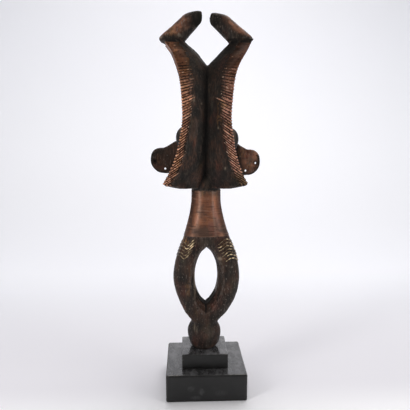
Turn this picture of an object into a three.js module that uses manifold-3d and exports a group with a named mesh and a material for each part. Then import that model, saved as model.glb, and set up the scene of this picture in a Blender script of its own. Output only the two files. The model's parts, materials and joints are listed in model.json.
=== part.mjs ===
// A two-faced reliquary figure of carved wood on a plinth of two painted blocks.
// Two leaf-shaped, hollowed faces look left and right, back to back. Copper strips clad them,
// a copper sleeve covers the neck, and brass wires are bent over the shoulders.
import * as THREE from 'three';
import { LoftGeometry } from 'three/addons/geometries/LoftGeometry.js';
import { mergeVertices } from 'three/addons/utils/BufferGeometryUtils.js';
import Module from 'manifold-3d';

const wasm = await Module();
wasm.setup();

// Sizes are in millimetres and heights are counted from the floor.
// Left is -X and right is +X. Front is -Y.
const gap = 0.3;
const sides = { left: -1, right: 1 };

const lowerBlock = { x: 0, y: 0, width: 125, bottom: 0, height: 43, edge: 1.4 };
const upperBlock = { x: -1.8, y: -6, width: 72, bottom: 43 + gap, height: 24 - gap, edge: 1 };
const axis = { x: upperBlock.x, y: upperBlock.y };

// A profile runs smoothly through its [height, size] pairs.
const foot = {
  bottom: upperBlock.bottom + upperBlock.height + gap,
  top: 112,
  radius: profile([
    [67.3, 18.5], [71, 21.8], [77, 24], [84, 25.9], [91, 26.7],
    [98, 25.9], [104, 23.5], [109, 20], [112, 16.9],
  ]),
};

const body = {
  bottom: 98,
  top: 356,
  lean: profile([[92, 0], [145, 3.6], [185, 3.5], [234, 3.9], [263, 3], [321, 2.7], [356, 2]]),
  halfWidth: profile([
    [98, 20], [109, 20.6], [125, 33.2], [145, 44], [165, 50.7], [185, 52.6], [205, 50.4],
    [225, 45.1], [244, 37.7], [263, 31.7], [283, 26.4], [302, 23.2], [321, 22.6], [356, 20],
  ]),
  halfDepth: profile([[98, 19.5], [109, 21], [125, 22.5], [185, 24], [244, 25], [302, 22.6], [356, 19]]),
  squareness: profile([[98, 2], [125, 2.5], [185, 2.8], [244, 2.6], [283, 2.1], [321, 2]]),
};

const opening = {
  bottom: 138,
  top: 234.5,
  halfWidth: profile([
    [138, 0], [145, 6.4], [155, 12.6], [165, 16.2], [180, 18.4], [195, 17.8], [205, 16.1],
    [215, 12.9], [225, 7.9], [234.5, 0],
  ]),
  lean: profile([[138, 1.9], [160, 2.6], [185, 2.9], [234.5, 3.1]]),
  widest: 180,
  bevel: 7,
  bevelFrom: 11,
  bevelAt: 23,
  dropBelow: 12,
  riseAbove: 3.5,
};

const sleeve = { bottom: 251, top: 322, thickness: 1 };

const head = {
  lean: profile([[334, 0], [400, 1.2], [460, 2.3], [490, 3.2], [516, 4.9], [530, 6.2], [541, 5], [549, 4.7]]),
  reach: profile([
    [326, 40], [328, 49.5], [330.5, 57.5], [334, 62.2], [340, 59.5], [347, 55.4], [373, 45.2],
    [400, 39], [430, 35.6], [460, 37.2], [488, 40.4], [505, 44.7], [527, 55], [541, 63.6], [549, 70.2],
  ]),
  halfWidth: profile([
    [326, 34], [330.5, 43], [335.5, 47.5], [348, 52], [385, 56], [410, 55], [440, 51], [470, 45],
    [500, 37], [520, 29], [549, 14],
  ]),
  hollow: profile([[326, 3], [342, 9], [370, 14], [410, 16], [450, 15.5], [490, 12], [520, 7], [549, 1]]),
  edge: profile([[326, 13], [342, 14], [400, 11.5], [430, 12.5], [470, 14], [500, 16], [549, 20]]),
  back: profile([
    [326, 9.6], [338, 5], [350, 0], [500, 0], [509, 0.3], [515, 5], [522, 11], [529, 17],
    [535, 23.5], [541, 30.5], [549, 37],
  ]),
  crevice: profile([[326, 18], [350, 20.5], [375, 25], [420, 27], [470, 25], [495, 18], [512, 6], [549, 3]]),
  creviceTip: { out: 0.6, across: 1.5 },
  backCurve: 1.5,
  roundness: 0.6,
  rim: 2,
  heights: [326, 328, 330.5, 334, ...evenly(342, 500, 8), 510, 519, 529, 539, 549],
};

const strips = { bottom: 330.5, top: 542, thickness: 1, leastStep: 1.5, woodBehind: 3 };

// Each section of a chignon runs from a point of its outer edge to one of its inner edge,
// as [reach, height], and is twice half wide from front to back.
const chignon = {
  rise: { left: [0, 1.1], right: [1.8, -1.9] },
  lean: 2.4,
  squareness: 2.2,
  sections: [
    { outer: [67, 544.5], inner: [37, 540.5], half: 13 },
    { outer: [70.6, 550.2], inner: [32.5, 545.5], half: 14 },
    { outer: [61.5, 559.2], inner: [28, 550.8], half: 13.8 },
    { outer: [48.6, 569.8], inner: [22.3, 557.4], half: 13.3 },
    { outer: [40.3, 577.4], inner: [16.6, 563.2], half: 13 },
    { outer: [33.6, 583.2], inner: [11.4, 568.8], half: 12.8 },
    { outer: [24.5, 586.8], inner: [7.6, 573], half: 12.4 },
    { outer: [13.5, 588.9], inner: [6, 578], half: 11 },
    { outer: [7.8, 588.4], inner: [5.8, 583.5], half: 8.5 },
  ],
};

// The nose blade is a thin upright disc on a root that is carved out of the face.
const blade = {
  thickness: 7,
  round: 2.2,
  root: 14,
  rootDrop: 2,
  squareness: 2.7,
  hole: 1.7,
  dimple: 2.4,
  left: { reach: 63.6, height: 367.8, radius: 19.5, brow: [[14, 404], [46, 397.5], [53.6, 392.3], [60, 388.8]] },
  right: { reach: 66.5, height: 364.6, radius: 20, brow: [[14, 403], [48, 396], [54.5, 391.5], [60.5, 387.6]] },
  outerHole: [13.2, -1],
  innerHole: [-2.5, -12.8],
};

const eye = {
  reach: { left: 25.8, right: 30 },
  offset: 27,
  height: { left: 400, right: 398 },
  out: 18.4,
  across: 16,
  up: 20.5,
  squareness: 2.2,
  tilt: 0.26,
};

// A wire starts at the front, is bent over the outside of the shoulder and ends at the back.
// Its heights are at the outside, over the middle of the limb and at its inner ends.
const wires = {
  radius: 1.1,
  lift: 0.6,
  spacing: 5,
  innerTurn: 1.22,
  middleTurn: 0.78,
  right: { count: 7, first: { outside: 240, middle: 246, inner: 238 } },
  left: { count: 5, first: { outside: 238, middle: 237.5, inner: 247 } },
};

// Turns and steps of the faceted surfaces
const detail = {
  bodyTurns: 22,
  bodySteps: 17,
  sleeveSteps: 5,
  ballTurns: 16,
  ballSteps: 9,
  openingPoints: 20,
  faceSteps: 8,
  backSteps: 4,
  chignonTurns: 12,
  bladeArc: 11,
  bladeRound: 2,
  holeTurns: 7,
  eyeTurns: 12,
  eyeRings: 8,
  wirePoints: 10,
  wireSteps: 8,
  wireTurns: 4,
};

// A cutting solid runs past what it cuts by this much.
const past = { end: 1, hollow: 2, face: 8, eye: 30, opening: 40 };

const finish = {
  blackPaint: { color: 0x2b2b2c, roughness: 0.45, metalness: 0 },
  darkWood: { color: 0x3a2b23, roughness: 0.55, metalness: 0 },
  copperStrip: { color: 0x7a4a34, roughness: 0.45, metalness: 0.8 },
  copperSheet: { color: 0x83503a, roughness: 0.35, metalness: 0.8 },
  darkMetal: { color: 0x33291f, roughness: 0.4, metalness: 0.7 },
  brassWire: { color: 0xa8874e, roughness: 0.35, metalness: 0.9 },
};

// Numbers and curves

function profile(pairs) {
  const heights = pairs.map((pair) => pair[0]);
  const sizes = pairs.map((pair) => pair[1]);
  const curve = new THREE.CubicInterpolant(heights, sizes, 1, new Float64Array(1));
  return (height) => curve.evaluate(height)[0];
}

function evenly(from, to, steps) {
  return Array.from({ length: steps + 1 }, (_, i) => THREE.MathUtils.lerp(from, to, i / steps));
}

function squared(value, squareness) {
  return Math.sign(value) * Math.abs(value) ** (2 / squareness);
}

function ring(centre, across, deep, squareness, turns) {
  return Array.from({ length: turns }, (_, i) => {
    const angle = (2 * Math.PI * i) / turns;
    return centre
      .clone()
      .addScaledVector(across, squared(Math.cos(angle), squareness))
      .addScaledVector(deep, squared(Math.sin(angle), squareness));
  });
}

// Solids

function solid(geometry) {
  const bare = new THREE.BufferGeometry().setAttribute('position', geometry.getAttribute('position'));
  const merged = mergeVertices(bare.setIndex(geometry.getIndex()), 1e-4);
  const corners = merged.index.array;
  const triangles = [];
  for (let i = 0; i < corners.length; i += 3) {
    const [a, b, c] = corners.slice(i, i + 3);
    if (a !== b && b !== c && c !== a) triangles.push(a, b, c);
  }
  return new wasm.Manifold(
    new wasm.Mesh({
      numProp: 3,
      vertProperties: merged.attributes.position.array,
      triVerts: new Uint32Array(triangles),
    }),
  );
}

function middleOf(points) {
  return points.reduce((sum, point) => sum.add(point), new THREE.Vector3()).divideScalar(points.length);
}

// Every section has to run counterclockwise as seen from the end of the loft.
function loft(sections) {
  const first = sections[0];
  const centre = middleOf(first);
  const normal = new THREE.Vector3();
  first.forEach((point, i) => {
    const next = first[(i + 1) % first.length];
    normal.add(point.clone().sub(centre).cross(next.clone().sub(centre)));
  });
  const forward = middleOf(sections.at(-1)).sub(centre);
  const ordered = normal.dot(forward) > 0 ? sections : sections.map((section) => section.toReversed());
  return solid(new LoftGeometry(ordered, { capStart: true, capEnd: true }));
}

function meshOf(name, made, look) {
  const { numProp, vertProperties, triVerts } = made.getMesh();
  const geometry = new THREE.BufferGeometry();
  const corners = new THREE.InterleavedBuffer(vertProperties, numProp);
  geometry.setAttribute('position', new THREE.InterleavedBufferAttribute(corners, 3, 0));
  geometry.setIndex(new THREE.BufferAttribute(triVerts, 1));
  const mesh = new THREE.Mesh(geometry, new THREE.MeshStandardMaterial(look));
  mesh.name = name;
  return mesh;
}

// Plinth

function block({ x, y, width, bottom, height, edge }) {
  const half = width / 2 - edge;
  const outline = new THREE.Shape([
    new THREE.Vector2(-half - edge, -half),
    new THREE.Vector2(-half, -half - edge),
    new THREE.Vector2(half, -half - edge),
    new THREE.Vector2(half + edge, -half),
    new THREE.Vector2(half + edge, half),
    new THREE.Vector2(half, half + edge),
    new THREE.Vector2(-half, half + edge),
    new THREE.Vector2(-half - edge, half),
  ]);
  const geometry = new THREE.ExtrudeGeometry(outline, {
    depth: height - 2 * edge,
    bevelThickness: edge,
    bevelSize: edge,
    bevelOffset: -edge,
    bevelSegments: 1,
  });
  return solid(geometry.translate(x, y, bottom + edge));
}

// Foot, legs and neck

function bodyRing(height, skin) {
  return ring(
    new THREE.Vector3(axis.x + body.lean(height), axis.y, height),
    new THREE.Vector3(body.halfWidth(height) - skin, 0, 0),
    new THREE.Vector3(0, body.halfDepth(height) - skin, 0),
    body.squareness(height),
    detail.bodyTurns,
  );
}

function bodyLoft(from, to, steps, skin) {
  return loft(evenly(from, to, steps).map((height) => bodyRing(height, skin)));
}

// A ball that is cut off flat and stays full below its middle
function ball() {
  const { bottom, top, radius } = foot;
  const outline = evenly(bottom, top, detail.ballSteps).map((height) => [radius(height), height]);
  const closed = [[0, bottom], ...outline, [0, top]].map(([out, height]) => new THREE.Vector2(out, height));
  const lathed = new THREE.LatheGeometry(closed, detail.ballTurns);
  return solid(lathed.rotateX(Math.PI / 2).translate(axis.x, axis.y, 0));
}

// The pointed oval between the legs, widened by grow, at a depth from front to back
function openingRing(depth, grow) {
  const share = grow / opening.bevel;
  const bottom = opening.bottom - share * opening.dropBelow;
  const top = opening.top + share * opening.riseAbove;
  const outline = (turn) => {
    const part = (1 - Math.cos(turn)) / 2;
    const middle = THREE.MathUtils.lerp(opening.bottom, opening.top, part);
    const half = opening.halfWidth(middle) * (1 + grow / opening.halfWidth(opening.widest));
    const across = axis.x + opening.lean(middle) + Math.sign(Math.PI - turn) * half;
    return new THREE.Vector3(across, axis.y + depth, THREE.MathUtils.lerp(bottom, top, part));
  };
  return evenly(0, 2 * Math.PI, detail.openingPoints).slice(0, -1).map(outline);
}

function openingCut() {
  const { bevel, bevelFrom, bevelAt } = opening;
  const widest = (bevel * (past.opening - bevelFrom)) / (bevelAt - bevelFrom);
  return loft([
    openingRing(-past.opening, widest),
    openingRing(-bevelAt, bevel),
    openingRing(-bevelFrom, 0),
    openingRing(bevelFrom, 0),
    openingRing(bevelAt, bevel),
    openingRing(past.opening, widest),
  ]);
}

function tube(from, to, outerSkin, innerSkin) {
  const outside = bodyLoft(from, to, detail.sleeveSteps, outerSkin);
  return outside.subtract(bodyLoft(from - past.end, to + past.end, detail.sleeveSteps, innerSkin));
}

// Heads

// Points as [reach, distance from the middle], round the face from its near edge to its far one
function facePoints(height, skin) {
  const reach = head.reach(height);
  const half = head.halfWidth(height);
  const hollow = head.hollow(height);
  const flank = half - head.rim;
  const points = [[reach - head.rim, skin - half]];
  evenly(-flank, flank, detail.faceSteps).forEach((across) => {
    const slope = (2 * hollow * across) / flank ** 2;
    points.push([reach - hollow * (1 - (across / flank) ** 2) - skin * Math.hypot(1, slope), across]);
  });
  points.push([reach - head.rim, half - skin]);
  return points;
}

function backPoints(height) {
  const edge = head.reach(height) - head.edge(height);
  const middle = head.back(height);
  const crevice = head.crevice(height);
  const width = head.halfWidth(height) - crevice;
  const points = evenly(1, 0, detail.backSteps).map((step) => {
    const part = step ** head.backCurve;
    return [THREE.MathUtils.lerp(middle, edge, part), crevice + width * part ** head.roundness];
  });
  points.push([middle - head.creviceTip.out, crevice - head.creviceTip.across]);
  return points;
}

function placed(side, height, points) {
  const middle = axis.x + head.lean(height);
  return points.map(([out, across]) => new THREE.Vector3(middle + side * out, axis.y + across, height));
}

function headRing(side, height) {
  const far = backPoints(height);
  const near = far.map(([out, across]) => [out, -across]).reverse();
  return placed(side, height, [...facePoints(height, 0), ...far, ...near]);
}

// The face and its edges alone, closed through the wood behind them
function faceRing(side, height, skin, behind) {
  const end = head.reach(height) - head.edge(height) - behind;
  const deepest = Math.min(end, head.reach(height) - head.hollow(height) - behind) - strips.woodBehind;
  const half = head.halfWidth(height) - skin;
  const near = [[deepest, -half / 2], [end, -half]];
  const far = [[end, half], [deepest, half / 2]];
  return placed(side, height, [...near, ...facePoints(height, skin), ...far]);
}

function faceLoft(side, from, to, skin, behind) {
  const least = strips.leastStep;
  const between = head.heights.filter((height) => height > from + least && height < to - least);
  return loft([from, ...between, to].map((height) => faceRing(side, height, skin, behind)));
}

function cladding(side, grow) {
  const from = strips.bottom - grow;
  const to = strips.top + grow;
  const outside = faceLoft(side, from, to, grow ? -past.hollow : 0, grow);
  const inside = faceLoft(side, from - past.end, to + past.end, strips.thickness + grow, past.face);
  return outside.subtract(inside);
}

function headSolid(side) {
  return loft(head.heights.map((height) => headRing(side, height)));
}

function chignonSolid(name) {
  const side = sides[name];
  const { sections, rise, lean } = chignon;
  return loft(
    sections.map(({ outer, inner, half }, i) => {
      const lift = THREE.MathUtils.lerp(...rise[name], i / (sections.length - 1));
      const edge = ([out, height]) => new THREE.Vector3(axis.x + lean + side * out, axis.y, height + lift);
      const [from, to] = [edge(outer), edge(inner)];
      const centre = from.clone().lerp(to, 0.5);
      const deep = new THREE.Vector3(0, half, 0);
      return ring(centre, from.sub(centre), deep, chignon.squareness, detail.chignonTurns);
    }),
  );
}

// Nose blades and eyes

function bladeSolid(name, grow) {
  const { reach, height, radius, brow } = blade[name];
  const arc = evenly(Math.PI / 2, -Math.PI / 2, detail.bladeArc).map((angle) => {
    const square = angle > 0 ? blade.squareness : 2;
    return [
      reach + radius * squared(Math.cos(angle), square),
      height + radius * squared(Math.sin(angle), square),
    ];
  });
  const below = [blade.root, height - radius - blade.rootDrop];
  const middle = axis.x + head.lean(height);
  const outline = [...brow, ...arc, below].map(
    ([out, up]) => new THREE.Vector2(middle + sides[name] * out, up),
  );
  const geometry = new THREE.ExtrudeGeometry(new THREE.Shape(outline), {
    depth: blade.thickness - 2 * blade.round,
    bevelThickness: blade.round + grow,
    bevelSize: blade.round,
    bevelOffset: grow - blade.round,
    bevelSegments: detail.bladeRound,
  });
  const middleDepth = axis.y + blade.thickness / 2 - blade.round;
  return solid(geometry.rotateX(Math.PI / 2).translate(0, middleDepth, 0));
}

function bladeHole(name, [out, up], depth) {
  const { reach, height } = blade[name];
  const long = blade.thickness + 2 * past.end;
  const pin = new THREE.CylinderGeometry(blade.hole, blade.hole, long, detail.holeTurns);
  const across = axis.x + head.lean(height) + sides[name] * (reach + out);
  return solid(pin.translate(across, axis.y - depth, height + up));
}

function eyeSolid(name, front) {
  const side = sides[name];
  const dome = new THREE.SphereGeometry(1, detail.eyeTurns, detail.eyeRings).rotateX(Math.PI / 2);
  const corners = dome.getAttribute('position');
  corners.array.forEach((value, i, all) => {
    all[i] = squared(value, eye.squareness);
  });
  const height = eye.height[name];
  const across = axis.x + head.lean(height) + side * eye.reach[name];
  dome.scale(eye.out, eye.across, eye.up).rotateY(side * eye.tilt);
  dome.translate(across, axis.y + front * eye.offset, height);
  const face = faceLoft(side, height - past.eye, height + past.eye, -gap, past.eye);
  return solid(dome).subtract(face);
}

// Shoulder wires

function wireSolid(name, number) {
  const { outside, middle, inner } = wires[name].first;
  const { radius, lift, spacing, innerTurn, middleTurn } = wires;
  const drop = number * spacing;
  const height = profile([[0, outside - drop], [middleTurn, middle - drop], [innerTurn, inner - drop]]);
  const points = evenly(-innerTurn, innerTurn, detail.wirePoints).map((turn) => {
    const up = height(Math.abs(turn));
    const square = body.squareness(up);
    const across = (body.halfWidth(up) + lift + radius) * squared(Math.cos(turn), square);
    const deep = (body.halfDepth(up) + lift + radius) * squared(Math.sin(turn), square);
    return new THREE.Vector3(axis.x + body.lean(up) + sides[name] * across, axis.y + deep, up);
  });
  const section = evenly(0, 2 * Math.PI, detail.wireTurns)
    .slice(0, -1)
    .map((turn) => new THREE.Vector2(radius * Math.cos(turn), radius * Math.sin(turn)));
  const extrudePath = new THREE.CatmullRomCurve3(points);
  return solid(
    new THREE.ExtrudeGeometry(new THREE.Shape(section), { steps: detail.wireSteps, extrudePath }),
  );
}

// The carved wood is one solid, hollowed a little where the sleeve and the strips lie in it.
function carvedFigure() {
  const recess = tube(sleeve.bottom - gap, sleeve.top + gap, -past.hollow, sleeve.thickness + gap);
  const limbs = bodyLoft(body.bottom, body.top, detail.bodySteps, 0).subtract(openingCut());
  let wood = limbs.subtract(recess).add(ball());
  for (const [name, side] of Object.entries(sides)) {
    wood = wood.add(headSolid(side).subtract(cladding(side, gap)));
    wood = wood.add(chignonSolid(name)).add(bladeSolid(name, 0));
    wood = wood.subtract(bladeHole(name, blade.innerHole, 0));
    const shallow = name === 'left' ? blade.thickness + past.end - blade.dimple : 0;
    wood = wood.subtract(bladeHole(name, blade.outerHole, shallow));
  }
  return wood;
}

const group = new THREE.Group();
group.add(meshOf('lower_block', block(lowerBlock), finish.blackPaint));
group.add(meshOf('upper_block', block(upperBlock), finish.blackPaint));
group.add(meshOf('figure', carvedFigure(), finish.darkWood));
group.add(meshOf('neck_sleeve', tube(sleeve.bottom, sleeve.top, 0, sleeve.thickness), finish.copperSheet));
for (const [name, side] of Object.entries(sides)) {
  const strip = cladding(side, 0).subtract(bladeSolid(name, gap));
  group.add(meshOf(`${name}_face_strips`, strip, finish.copperStrip));
  group.add(meshOf(`${name}_face_front_eye`, eyeSolid(name, -1), finish.darkMetal));
  group.add(meshOf(`${name}_face_back_eye`, eyeSolid(name, 1), finish.darkMetal));
  for (let number = 0; number < wires[name].count; number += 1) {
    group.add(meshOf(`${name}_shoulder_wire_${number + 1}`, wireSolid(name, number), finish.brassWire));
  }
}

export default group;
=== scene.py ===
import bisect
import json
import math
import random

import bpy
import numpy as np
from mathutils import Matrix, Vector, noise

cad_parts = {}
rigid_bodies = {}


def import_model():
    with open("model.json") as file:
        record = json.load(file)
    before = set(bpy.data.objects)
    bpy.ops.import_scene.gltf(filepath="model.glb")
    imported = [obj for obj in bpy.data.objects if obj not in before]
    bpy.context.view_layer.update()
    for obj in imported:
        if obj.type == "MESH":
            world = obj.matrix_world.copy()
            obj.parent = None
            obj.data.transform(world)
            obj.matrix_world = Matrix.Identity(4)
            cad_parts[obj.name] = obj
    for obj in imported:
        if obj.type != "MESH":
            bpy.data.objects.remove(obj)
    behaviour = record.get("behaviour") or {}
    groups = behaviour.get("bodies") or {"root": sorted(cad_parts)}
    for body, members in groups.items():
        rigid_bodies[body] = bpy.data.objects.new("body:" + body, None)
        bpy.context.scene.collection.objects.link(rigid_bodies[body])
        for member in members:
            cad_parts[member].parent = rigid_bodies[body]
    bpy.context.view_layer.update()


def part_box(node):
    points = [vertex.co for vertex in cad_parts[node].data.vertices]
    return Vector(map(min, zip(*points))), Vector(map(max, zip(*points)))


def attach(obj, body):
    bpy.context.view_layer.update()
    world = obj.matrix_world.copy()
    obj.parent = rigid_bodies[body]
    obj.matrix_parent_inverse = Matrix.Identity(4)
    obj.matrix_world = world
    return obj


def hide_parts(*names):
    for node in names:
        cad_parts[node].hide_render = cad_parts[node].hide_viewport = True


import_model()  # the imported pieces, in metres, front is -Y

mm = 0.001
sides = {"left": -1, "right": 1}
axis = {"x": -1.8, "y": -6}  # the upright middle of the figure, in mm from the middle of the plinth


# Numbers and curves, in mm

def evenly(start, end, steps):
    return [start + (end - start) * i / steps for i in range(steps + 1)]


def profile(pairs):  # runs smoothly through [height, size] pairs and stays level outside them
    at = [pair[0] for pair in pairs]
    size = [pair[1] for pair in pairs]
    last = len(at) - 1

    def value(height):
        height = min(max(height, at[0]), at[-1])
        i = min(max(bisect.bisect_right(at, height), 1), last)
        before, after = at[i - 1], at[i]
        lower = at[i - 2] if i > 1 else 2 * before - after
        upper = at[i + 1] if i < last else 2 * after - before
        step = (after - before) / 2
        fromLower = step / (before - lower)
        fromUpper = step / (upper - after)
        p = (height - before) / (after - before)
        weights = (
            fromLower * (-(p**3) + 2 * p * p - p),
            (1 + fromLower) * p**3 + (-1.5 - 2 * fromLower) * p * p + (fromLower - 0.5) * p + 1,
            (-1 - fromUpper) * p**3 + (1.5 + fromUpper) * p * p + 0.5 * p,
            fromUpper * (p**3 - p * p),
        )
        places = (i - 2 if i > 1 else i, i - 1, i, i + 1 if i < last else i - 1)
        return sum(weight * size[place] for weight, place in zip(weights, places))

    return value


def ramp(low, high, value):
    part = min(max((value - low) / (high - low), 0), 1)
    return part * part * (3 - 2 * part)


def squared(value, squareness):
    return math.copysign(abs(value) ** (2 / squareness), value)


def uneven(x, y, z, layers, base=0.0):  # soft waves on a base, each layer with its depth, width and height
    waves = (depth * noise.noise(Vector((x / wide, y / wide, z / tall))) for depth, wide, tall in layers)
    return sum(waves, base)


# Meshes

def selectOnly(piece):
    bpy.ops.object.select_all(action="DESELECT")
    piece.select_set(True)
    bpy.context.view_layer.objects.active = piece


def openMesh(piece, action="SELECT"):  # edit mode, with all of the piece selected or nothing
    selectOnly(piece)
    bpy.ops.object.mode_set(mode="EDIT")
    bpy.ops.mesh.select_all(action=action)


def closeMesh():
    bpy.ops.object.mode_set(mode="OBJECT")


def newPiece(name, corners, faces):
    mesh = bpy.data.meshes.new(name)
    mesh.from_pydata([Vector(corner) * mm for corner in corners], [], faces)
    piece = bpy.data.objects.new(name, mesh)
    bpy.context.scene.collection.objects.link(piece)
    return piece


def loft(name, rows, capped=True):  # skins rings of equally many points
    count = len(rows[0])
    corners = [point for row in rows for point in row]
    faces = []
    for r in range(len(rows) - 1):
        for i in range(count):
            j = (i + 1) % count
            faces.append((r * count + i, r * count + j, (r + 1) * count + j, (r + 1) * count + i))
    if capped:
        faces.append(tuple(reversed(range(count))))
        faces.append(tuple((len(rows) - 1) * count + i for i in range(count)))
    piece = newPiece(name, corners, faces)
    outwards(piece)
    return piece


def outwards(piece):
    openMesh(piece)
    bpy.ops.mesh.normals_make_consistent(inside=False)
    closeMesh()


def subdivide(piece, cuts):
    openMesh(piece)
    bpy.ops.mesh.subdivide(number_cuts=cuts)
    closeMesh()


def dropLoose(piece, height):  # keeps only what hangs together with the vertex nearest that height
    openMesh(piece, "DESELECT")
    closeMesh()
    min(piece.data.vertices, key=lambda vertex: abs(vertex.co.z - height)).select = True
    bpy.ops.object.mode_set(mode="EDIT")
    bpy.ops.mesh.select_linked()
    bpy.ops.mesh.select_all(action="INVERT")
    bpy.ops.mesh.delete(type="VERT")
    closeMesh()


def modify(piece, kind, **settings):
    selectOnly(piece)
    modifier = piece.modifiers.new(kind.lower(), kind)
    for key, value in settings.items():
        setattr(modifier, key, value)
    bpy.ops.object.modifier_apply(modifier=modifier.name)


def cut(piece, cutter, solver="EXACT"):
    modify(piece, "BOOLEAN", operation="DIFFERENCE", object=cutter, solver=solver)
    bpy.data.objects.remove(cutter)


def joined(name, pieces):
    selectOnly(pieces[0])
    for piece in pieces:
        piece.select_set(True)
    bpy.ops.object.join()
    pieces[0].name = name
    return pieces[0]


def dress(piece, look):
    selectOnly(piece)
    bpy.ops.object.shade_smooth()
    piece.data.materials.clear()
    piece.data.materials.append(look)


def paint(piece, name, colours):  # one colour a vertex, for the material to read
    layer = piece.data.color_attributes.new(name, "FLOAT_COLOR", "POINT")
    layer.data.foreach_set("color", np.asarray(colours, np.float32).ravel())


def triangles(piece):
    return sum(len(face.vertices) - 2 for face in piece.data.polygons)


# Camera, floor and light

camera = {
    "place": (-33.3, -726.9, 386.8),  # in mm
    "lens": 40.5,
    "sensor": 36,
    # degrees that it is turned to the right, tipped down and rolled
    "right": 2.59,
    "down": 7.04,
    "roll": -0.05,
}


def placeCamera():
    bpy.ops.object.camera_add(location=Vector(camera["place"]) * mm)
    made = bpy.context.object
    turns = (90 - camera["down"], camera["roll"], -camera["right"])
    made.rotation_euler = [math.radians(turn) for turn in turns]
    made.data.lens = camera["lens"]
    made.data.sensor_width = camera["sensor"]
    made.data.sensor_fit = "HORIZONTAL"
    bpy.context.scene.camera = made


studio = {  # in metres and watts
    "floorWidth": 7,
    "floorStart": -2.4,
    "bendStart": 0.7,
    "bendRadius": 0.9,
    "wallTop": 3.2,
    "paper": {
        "front": (0.94, 0.955, 1),
        # near is the greyer paper round the object: painted shade
        "near": (0.795, 0.8, 0.875),
        "far": (0.76, 0.775, 0.845),
        "steps": (-0.15, 0, 0.1, 0.5),  # from front to near between the first two, to far between the others
        "roughness": 0.7,
        "frontGlow": (0.09, 0, -0.16),  # painted light, a glow towards the front: strength, from and to which place towards the front
    },
    "glow": {  # painted light: the glow of the paper behind the object
        "colour": (0.97, 0.98, 1),
        "strength": 0.285,
        "from": 0.05,
        "to": 0.75,
        "low": 0.76,
        "lowTo": 0.4,
        "leftToRight": (0.93, 1.09),
        "fadeFrom": 0.5,
        "fadeTo": 1.3,
        "fade": 0.7,
    },
    "air": (0.98, 0.985, 1),
    "airStrength": 0.24,
    "warm": (1, 0.955, 0.89),
    "lights": {
        # name: place, width and height, watts, aim
        "keyLeft": ((-1.2, -0.95, 0.75), (0.42, 1.1), 9.8, (0, 0, 0.35)),
        "fillRight": ((1.3, -0.75, 0.65), (0.75, 1.2), 7.2, (0, 0, 0.35)),
        "overhead": ((0.2, 0.5, 1.9), (1.5, 1.1), 20, (0, 0.1, 0)),
    },
}


def buildStudio():
    across = studio["floorWidth"] / 2
    bend, radius, top = studio["bendStart"], studio["bendRadius"], studio["wallTop"]
    line = [(studio["floorStart"], 0), (bend, 0)]
    for turn in evenly(0, math.pi / 2, 24)[1:]:
        line.append((bend + radius * math.sin(turn), radius - radius * math.cos(turn)))
    line.append((bend + radius, top))
    corners = [(x / mm, y / mm, z / mm) for y, z in line for x in (-across, across)]
    faces = [(2 * i, 2 * i + 1, 2 * i + 3, 2 * i + 2) for i in range(len(line) - 1)]
    sweep = newPiece("studioSweep", corners, faces)
    dress(sweep, paperMaterial())

    world = bpy.data.worlds.new("softRoom")
    world.use_nodes = True
    sky = world.node_tree.nodes["Background"]
    feed(world.node_tree, sky.inputs["Color"], studio["air"])
    feed(world.node_tree, sky.inputs["Strength"], studio["airStrength"])
    bpy.context.scene.world = world

    for name, (place, size, watts, aim) in studio["lights"].items():
        bpy.ops.object.light_add(type="AREA", location=place)
        light = bpy.context.object
        light.name = name
        light.data.shape = "RECTANGLE"
        light.data.size, light.data.size_y = size
        light.data.energy = watts
        light.data.color = studio["warm"]
        light.rotation_euler = (Vector(aim) - Vector(place)).to_track_quat("-Z", "Y").to_euler()
    bpy.context.scene.view_settings.view_transform = "Standard"
    print("studio ready")


def paperMaterial():  # greyer round the object than before it, which is painted shade, and it glows a little of its own, which is painted light
    paper, glow = studio["paper"], studio["glow"]
    look, tree = newMaterial("paperSweep")
    across, deep, up = coordinates(tree)
    steps = paper["steps"]
    colour = mixColour(tree, spread(tree, deep, steps[0], steps[1]), paper["front"], paper["near"])
    colour = mixColour(tree, spread(tree, deep, steps[2], steps[3]), colour, paper["far"])
    lit = spread(tree, deep, glow["from"], glow["to"])
    high = spread(tree, up, glow["fadeFrom"], glow["fadeTo"], 1, glow["fade"])
    lit = times(tree, times(tree, lit, high), glow["strength"])
    lit = times(tree, lit, spread(tree, up, 0, glow["lowTo"], glow["low"], 1))
    lit = times(tree, lit, spread(tree, across, -0.3, 0.3, *glow["leftToRight"]))
    strength, start, end = paper["frontGlow"]
    lit = plus(tree, lit, spread(tree, deep, start, end, 0, strength))
    shader = tree.nodes["Principled BSDF"]
    feed(tree, shader.inputs["Roughness"], paper["roughness"])
    feed(tree, shader.inputs["Emission Color"], glow["colour"])
    feed(tree, shader.inputs["Base Color"], colour)
    feed(tree, shader.inputs["Emission Strength"], lit)
    return look


# Material helpers

def newMaterial(name):
    made = bpy.data.materials.new(name)
    made.use_nodes = True
    return made, made.node_tree


def feed(tree, socket, value):  # a link, a colour or a number
    if isinstance(value, bpy.types.NodeSocket):
        tree.links.new(value, socket)
    elif isinstance(value, tuple):
        socket.default_value = (*value, 1)
    else:
        socket.default_value = value


def mixColour(tree, amount, first, second, blend="MIX"):
    node = tree.nodes.new("ShaderNodeMix")
    node.data_type = "RGBA"
    node.blend_type = blend
    for socket, value in ((node.inputs[0], amount), (node.inputs[6], first), (node.inputs[7], second)):
        feed(tree, socket, value)
    return node.outputs[2]


def mixMaths(tree, operation, first, second):
    node = tree.nodes.new("ShaderNodeMath")
    node.operation = operation
    for socket, value in zip(node.inputs, (first, second)):
        feed(tree, socket, value)
    return node.outputs[0]


def times(tree, first, second):
    return mixMaths(tree, "MULTIPLY", first, second)


def plus(tree, first, second):
    return mixMaths(tree, "ADD", first, second)


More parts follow.
